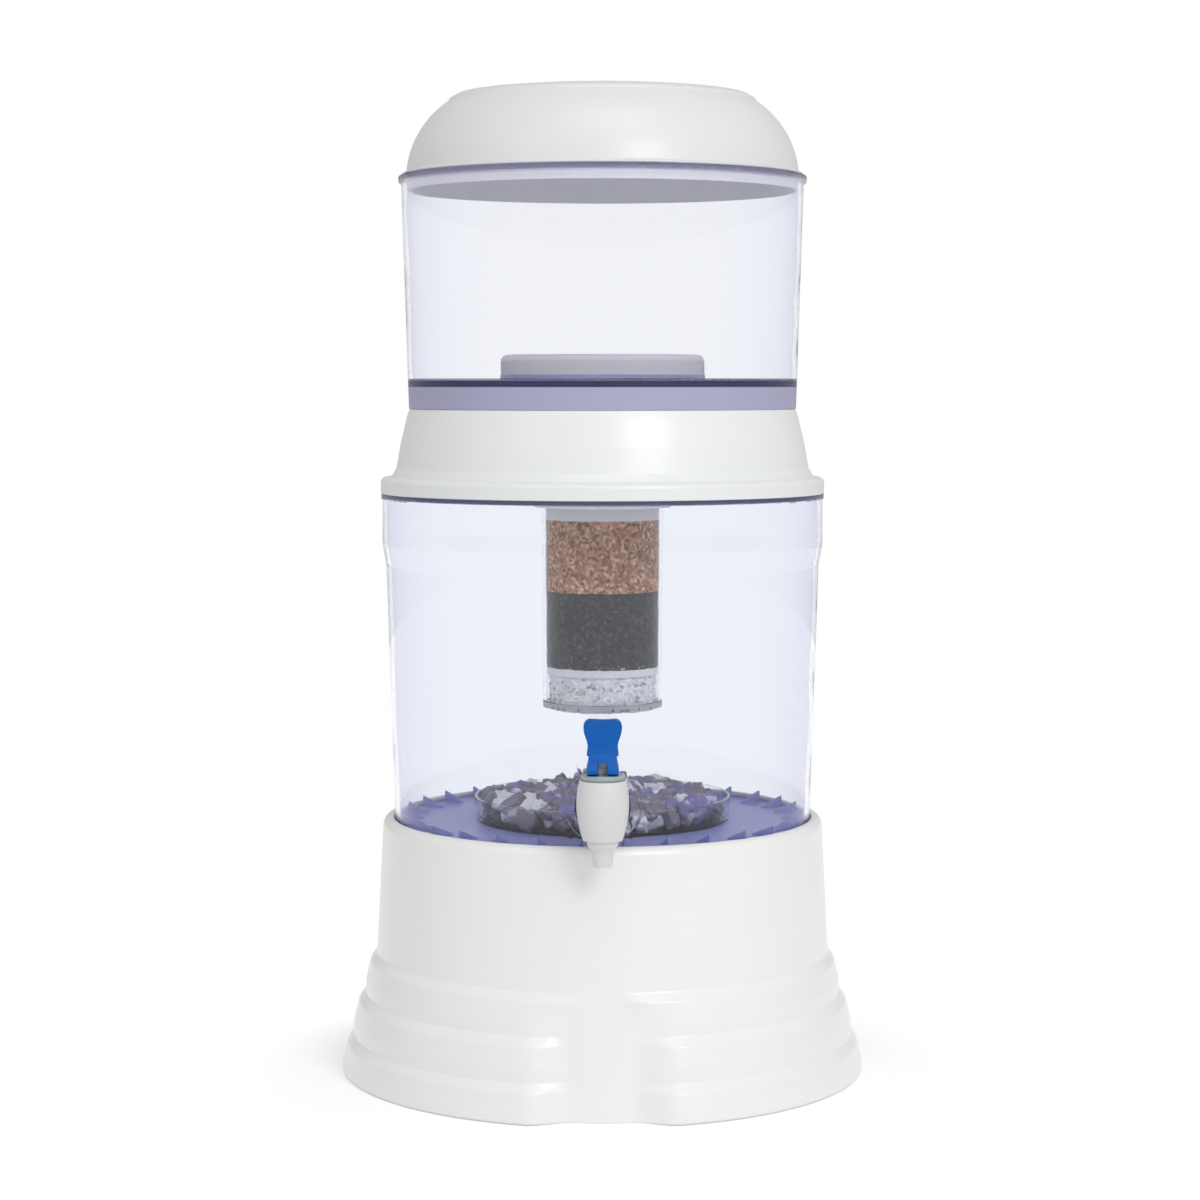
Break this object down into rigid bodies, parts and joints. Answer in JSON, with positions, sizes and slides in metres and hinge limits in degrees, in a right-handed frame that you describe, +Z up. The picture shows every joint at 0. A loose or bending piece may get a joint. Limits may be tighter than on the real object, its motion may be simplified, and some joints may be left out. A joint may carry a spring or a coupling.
{
  "type": "gravity water filter",
  "caption": "Countertop gravity water filter: clear tanks stacked over a stepped white stand, with a media cartridge, ceramic pre-filter, mineral tray and lever tap.",
  "frame": {"origin": "on the axis of the tanks, on the surface that the stand rests on", "axes": "+Z up along the tanks' axis, -Y towards the tap and the user, +X to the user's right"},
  "size_m": [0.2896, 0.3007, 0.542],
  "materials": {
    "white_plastic": "gloss white moulded plastic",
    "clear_tank": "clear blue-tinted moulded plastic, polished",
    "clear_tray": "clear moulded plastic",
    "clear_shell": "clear moulded plastic",
    "mineral_stone": "rough grey, violet and white stones",
    "tap_plastic": "off-white moulded plastic",
    "tap_stem_plastic": "smooth off-white plastic",
    "silicone": "translucent silicone",
    "spring_steel": "drawn stainless wire",
    "dark_rubber": "dark matt rubber",
    "blue_plastic": "saturated blue moulded plastic",
    "cartridge_white": "white moulded plastic",
    "filter_pad": "white non-woven filter pad",
    "brown_grains": "brown resin and ceramic grains",
    "black_carbon": "black granular carbon",
    "white_chips": "white mineral chips",
    "grey_plastic": "grey moulded plastic",
    "prefilter_plate": "blue-grey moulded plastic",
    "ceramic": "fine porous white ceramic"
  },
  "bodies": {
    "stand": {"base_stand": "white_plastic"},
    "lower_tank": {"lower_tank": "clear_tank", "lower_tank_gussets": "clear_tank", "tap_body": "tap_plastic", "tap_bonnet": "tap_plastic", "tap_spring": "spring_steel", "tap_outer_washer": "dark_rubber", "tap_inner_washer": "dark_rubber", "tap_nut": "tap_plastic"},
    "tray": {"mineral_tray": "clear_tray", "mineral_stones": "mineral_stone"},
    "tap_stem": {"tap_stem": "tap_stem_plastic", "tap_seat_cup": "silicone"},
    "tap_lever": {"tap_lever": "blue_plastic", "tap_lever_pin": "blue_plastic"},
    "separator": {"separator": "white_plastic"},
    "cartridge_seal": {"cartridge_gasket": "silicone"},
    "cartridge": {"cartridge_cap": "cartridge_white", "cartridge_shell": "clear_shell", "cartridge_top_pad": "filter_pad", "cartridge_grains": "brown_grains", "cartridge_carbon": "black_carbon", "cartridge_divider": "filter_pad", "cartridge_mineral_chips": "white_chips", "cartridge_base": "grey_plastic"},
    "upper_tank": {"upper_tank": "clear_tank", "prefilter_base": "prefilter_plate", "prefilter_ceramic": "ceramic", "prefilter_seal": "silicone"},
    "nut_washer": {"prefilter_washer": "silicone"},
    "wing_nut": {"prefilter_wing_nut": "cartridge_white"},
    "lid": {"lid": "white_plastic"}
  },
  "joints": [
    {"name": "tank_lift", "type": "slide", "parent": "stand", "child": "lower_tank", "axis": [0, 0, 1], "range_m": [0, 0.06]},
    {"name": "tray_lift", "type": "slide", "parent": "lower_tank", "child": "tray", "axis": [0, 0, 1], "range_m": [0, 0.024]},
    {"name": "tap_stem_lift", "type": "slide", "parent": "lower_tank", "child": "tap_stem", "axis": [0, 0, 1], "range_m": [0, 0.004], "deforming": ["tap_spring"]},
    {"name": "lever_tilt", "type": "hinge", "parent": "tap_stem", "child": "tap_lever", "pos_m": [0, -0.14251, 0.1878], "axis": [1, 0, 0], "range_deg": [0, 35], "stiffness_Nm_per_rad": 0.15, "springref_deg": -11.46},
    {"name": "separator_lift", "type": "slide", "parent": "lower_tank", "child": "separator", "axis": [0, 0, 1], "range_m": [0, 0.14]},
    {"name": "cartridge_drop", "type": "slide", "parent": "separator", "child": "cartridge_seal", "axis": [0, 0, -1], "range_m": [0, 0.008]},
    {"name": "cartridge_turn", "type": "hinge", "parent": "cartridge_seal", "child": "cartridge", "pos_m": [0, 0, 0.3], "axis": [0, 0, -1], "range_deg": [0, 720]},
    {"name": "upper_tank_lift", "type": "slide", "parent": "separator", "child": "upper_tank", "axis": [0, 0, 1], "range_m": [0, 0.04]},
    {"name": "wing_nut_drop", "type": "slide", "parent": "upper_tank", "child": "nut_washer", "axis": [0, 0, -1], "range_m": [0, 0.006]},
    {"name": "wing_nut_turn", "type": "hinge", "parent": "nut_washer", "child": "wing_nut", "pos_m": [0, 0, 0.369], "axis": [0, 0, -1], "range_deg": [0, 1080]},
    {"name": "lid_lift", "type": "slide", "parent": "upper_tank", "child": "lid", "axis": [0, 0, 1], "range_m": [0, 0.06]}
  ],
  "couplings": [
    {"joint": "tap_stem_lift", "follows": "lever_tilt", "m_per_rad": 0.006548},
    {"joint": "cartridge_drop", "follows": "cartridge_turn", "m_per_rad": 0.0006366},
    {"joint": "wing_nut_turn", "follows": "wing_nut_drop", "rad_per_m": 3141.6}
  ]
}
